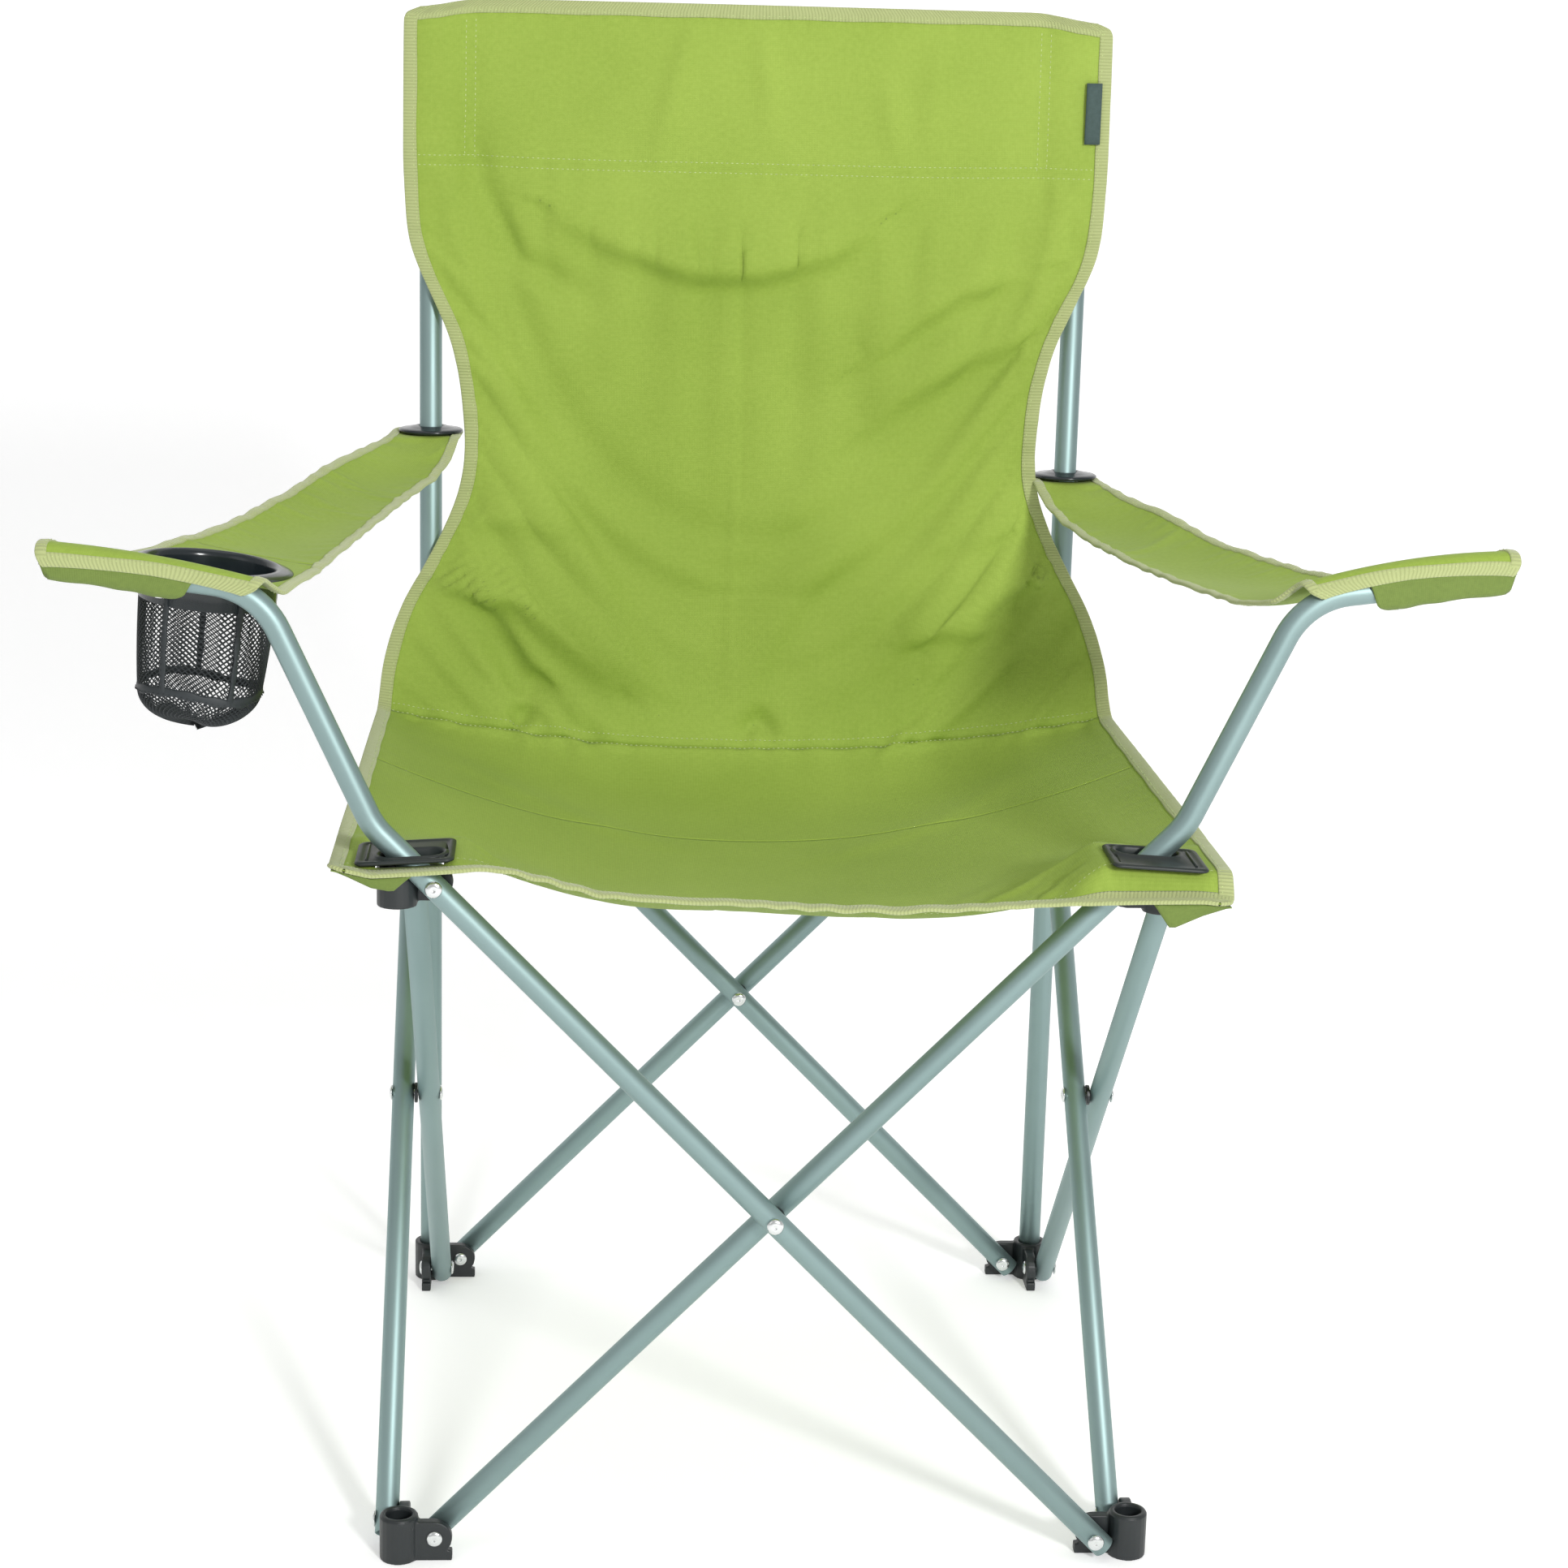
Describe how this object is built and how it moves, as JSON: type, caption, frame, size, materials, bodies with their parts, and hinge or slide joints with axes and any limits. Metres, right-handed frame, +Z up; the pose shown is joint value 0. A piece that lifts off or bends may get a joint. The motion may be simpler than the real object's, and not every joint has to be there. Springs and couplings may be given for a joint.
{
  "type": "folding camp chair",
  "caption": "Folding quad camp chair with scissor tube frame, fabric sling seat and back, sagging fabric armrests and a mesh cup pocket in one armrest.",
  "frame": {"origin": "floor, centre of the bounding box", "axes": "+Z up, -Y the open front of the seat, +X the sitter-facing viewer's right"},
  "size_m": [0.8286, 0.4791, 0.8921],
  "materials": {
    "tube_steel": "satin",
    "rivet_steel": "polished",
    "black_plastic": "satin",
    "ribbed_plastic": "satin",
    "sling_cloth": "matte",
    "mesh_cloth": "matte",
    "tag_cloth": "matte"
  },
  "bodies": {
    "rear_left_leg": {"foot_rear_left": "black_plastic", "upright_left": "tube_steel", "upright_plug_left": "black_plastic", "back_fabric": "sling_cloth", "side_tag": "tag_cloth", "rivet_rear_left_foot_x": "rivet_steel", "rivet_rear_left_foot_y": "rivet_steel"},
    "rear_scissor_a": {"rear_cross_tube_a": "tube_steel", "rivet_rear_middle": "rivet_steel", "spacer_rear": "black_plastic", "rivet_rear_right_hub_x": "rivet_steel"},
    "rear_scissor_b": {"rear_cross_tube_b": "tube_steel", "rivet_rear_left_hub_x": "rivet_steel", "rivet_rear_right_foot_x": "rivet_steel"},
    "rear_right_hub": {"hub_rear_right": "black_plastic", "armrest_grommet_right": "black_plastic", "rivet_rear_right_hub_y": "rivet_steel"},
    "rear_left_hub": {"hub_rear_left": "black_plastic", "armrest_grommet_left": "black_plastic", "rivet_rear_left_hub_y": "rivet_steel"},
    "rear_right_leg": {"foot_rear_right": "black_plastic", "upright_right": "tube_steel", "upright_plug_right": "black_plastic", "rivet_rear_right_foot_y": "rivet_steel"},
    "left_scissor_a": {"left_cross_tube_a": "tube_steel", "rivet_left_middle": "rivet_steel", "spacer_left": "black_plastic", "rivet_front_left_hub_y": "rivet_steel"},
    "left_scissor_b": {"left_cross_tube_b": "tube_steel", "rivet_front_left_foot_y": "rivet_steel"},
    "front_left_hub": {"hub_front_left": "black_plastic", "corner_plate_left": "ribbed_plastic"},
    "front_left_foot": {"foot_front_left": "black_plastic", "rivet_front_left_foot_x": "rivet_steel"},
    "right_scissor_a": {"right_cross_tube_a": "tube_steel", "rivet_right_middle": "rivet_steel", "spacer_right": "black_plastic", "rivet_front_right_hub_y": "rivet_steel"},
    "right_scissor_b": {"right_cross_tube_b": "tube_steel", "rivet_front_right_foot_y": "rivet_steel"},
    "front_right_hub": {"hub_front_right": "black_plastic", "corner_plate_right": "ribbed_plastic"},
    "front_right_foot": {"foot_front_right": "black_plastic", "rivet_front_right_foot_x": "rivet_steel"},
    "right_arm": {"front_tube_right_arm": "tube_steel", "rivet_front_middle": "rivet_steel", "spacer_front": "black_plastic", "rivet_front_right_hub_x": "rivet_steel", "armrest_fabric_right": "sling_cloth"},
    "left_arm": {"front_tube_left_arm": "tube_steel", "rivet_front_left_hub_x": "rivet_steel", "armrest_fabric_left": "sling_cloth", "cup_ring": "black_plastic", "cup_pocket": "mesh_cloth"},
    "seat_front": {"seat_fabric_front": "sling_cloth"},
    "seat_rear": {"seat_fabric_rear": "sling_cloth"}
  },
  "joints": [
    {"name": "fold", "type": "hinge", "parent": "rear_left_leg", "child": "rear_scissor_a", "pos_m": [-0.196, 0.217, 0.014], "axis": [0, -1, 0], "range_deg": [0, 36.5], "deforming": ["back_fabric", "side_tag"]},
    {"name": "rear_right_hub_turn", "type": "hinge", "parent": "rear_scissor_a", "child": "rear_right_hub", "pos_m": [0.196, 0.217, 0.414], "axis": [0, 1, 0], "range_deg": [0, 36.5]},
    {"name": "rear_scissor", "type": "hinge", "parent": "rear_scissor_a", "child": "rear_scissor_b", "pos_m": [0, 0.217, 0.214], "axis": [0, 1, 0], "range_deg": [0, 73]},
    {"name": "rear_left_hub_turn", "type": "hinge", "parent": "rear_scissor_b", "child": "rear_left_hub", "pos_m": [-0.196, 0.217, 0.414], "axis": [0, -1, 0], "range_deg": [0, 36.5]},
    {"name": "rear_right_leg_turn", "type": "hinge", "parent": "rear_scissor_b", "child": "rear_right_leg", "pos_m": [0.196, 0.217, 0.014], "axis": [0, -1, 0], "range_deg": [0, 36.5]},
    {"name": "left_fold", "type": "hinge", "parent": "rear_left_leg", "child": "left_scissor_a", "pos_m": [-0.217, 0.196, 0.014], "axis": [-1, 0, 0], "range_deg": [0, 36.5]},
    {"name": "front_left_hub_turn", "type": "hinge", "parent": "left_scissor_a", "child": "front_left_hub", "pos_m": [-0.217, -0.196, 0.414], "axis": [1, 0, 0], "range_deg": [0, 36.5]},
    {"name": "left_scissor", "type": "hinge", "parent": "left_scissor_a", "child": "left_scissor_b", "pos_m": [-0.217, 0, 0.214], "axis": [1, 0, 0], "range_deg": [0, 73]},
    {"name": "front_left_foot_turn", "type": "hinge", "parent": "left_scissor_b", "child": "front_left_foot", "pos_m": [-0.217, -0.196, 0.014], "axis": [-1, 0, 0], "range_deg": [0, 36.5]},
    {"name": "right_fold", "type": "hinge", "parent": "rear_right_leg", "child": "right_scissor_a", "pos_m": [0.217, 0.196, 0.014], "axis": [-1, 0, 0], "range_deg": [0, 36.5]},
    {"name": "front_right_hub_turn", "type": "hinge", "parent": "right_scissor_a", "child": "front_right_hub", "pos_m": [0.217, -0.196, 0.414], "axis": [1, 0, 0], "range_deg": [0, 36.5]},
    {"name": "right_scissor", "type": "hinge", "parent": "right_scissor_a", "child": "right_scissor_b", "pos_m": [0.217, 0, 0.214], "axis": [1, 0, 0], "range_deg": [0, 73]},
    {"name": "front_right_foot_turn", "type": "hinge", "parent": "right_scissor_b", "child": "front_right_foot", "pos_m": [0.217, -0.196, 0.014], "axis": [-1, 0, 0], "range_deg": [0, 36.5]},
    {"name": "front_fold", "type": "hinge", "parent": "front_left_foot", "child": "right_arm", "pos_m": [-0.196, -0.217, 0.014], "axis": [0, -1, 0], "range_deg": [0, 36.5], "deforming": ["armrest_fabric_right"]},
    {"name": "front_scissor", "type": "hinge", "parent": "right_arm", "child": "left_arm", "pos_m": [0, -0.217, 0.214], "axis": [0, 1, 0], "range_deg": [0, 73], "deforming": ["armrest_fabric_left", "cup_pocket"]},
    {"name": "seat_front_fold", "type": "hinge", "parent": "front_left_hub", "child": "seat_front", "pos_m": [-0.217, -0.24, 0.43], "axis": [-1, 0, 0], "range_deg": [0, 75.4], "deforming": ["seat_fabric_front"]},
    {"name": "seat_rear_fold", "type": "hinge", "parent": "rear_left_leg", "child": "seat_rear", "pos_m": [-0.217, 0.178, 0.426], "axis": [1, 0, 0], "range_deg": [0, 75.4], "deforming": ["seat_fabric_rear"]}
  ],
  "couplings": [
    {"joint": "rear_right_hub_turn", "follows": "fold", "ratio": 1},
    {"joint": "rear_scissor", "follows": "fold", "ratio": 2},
    {"joint": "rear_left_hub_turn", "follows": "fold", "ratio": 1},
    {"joint": "rear_right_leg_turn", "follows": "fold", "ratio": 1},
    {"joint": "left_fold", "follows": "fold", "ratio": 1},
    {"joint": "front_left_hub_turn", "follows": "fold", "ratio": 1},
    {"joint": "left_scissor", "follows": "fold", "ratio": 2},
    {"joint": "front_left_foot_turn", "follows": "fold", "ratio": 1},
    {"joint": "right_fold", "follows": "fold", "ratio": 1},
    {"joint": "front_right_hub_turn", "follows": "fold", "ratio": 1},
    {"joint": "right_scissor", "follows": "fold", "ratio": 2},
    {"joint": "front_right_foot_turn", "follows": "fold", "ratio": 1},
    {"joint": "front_fold", "follows": "fold", "ratio": 1},
    {"joint": "front_scissor", "follows": "fold", "ratio": 2},
    {"joint": "seat_front_fold", "follows": "fold", "ratio": 2.0658},
    {"joint": "seat_rear_fold", "follows": "fold", "ratio": 2.0658}
  ]
}
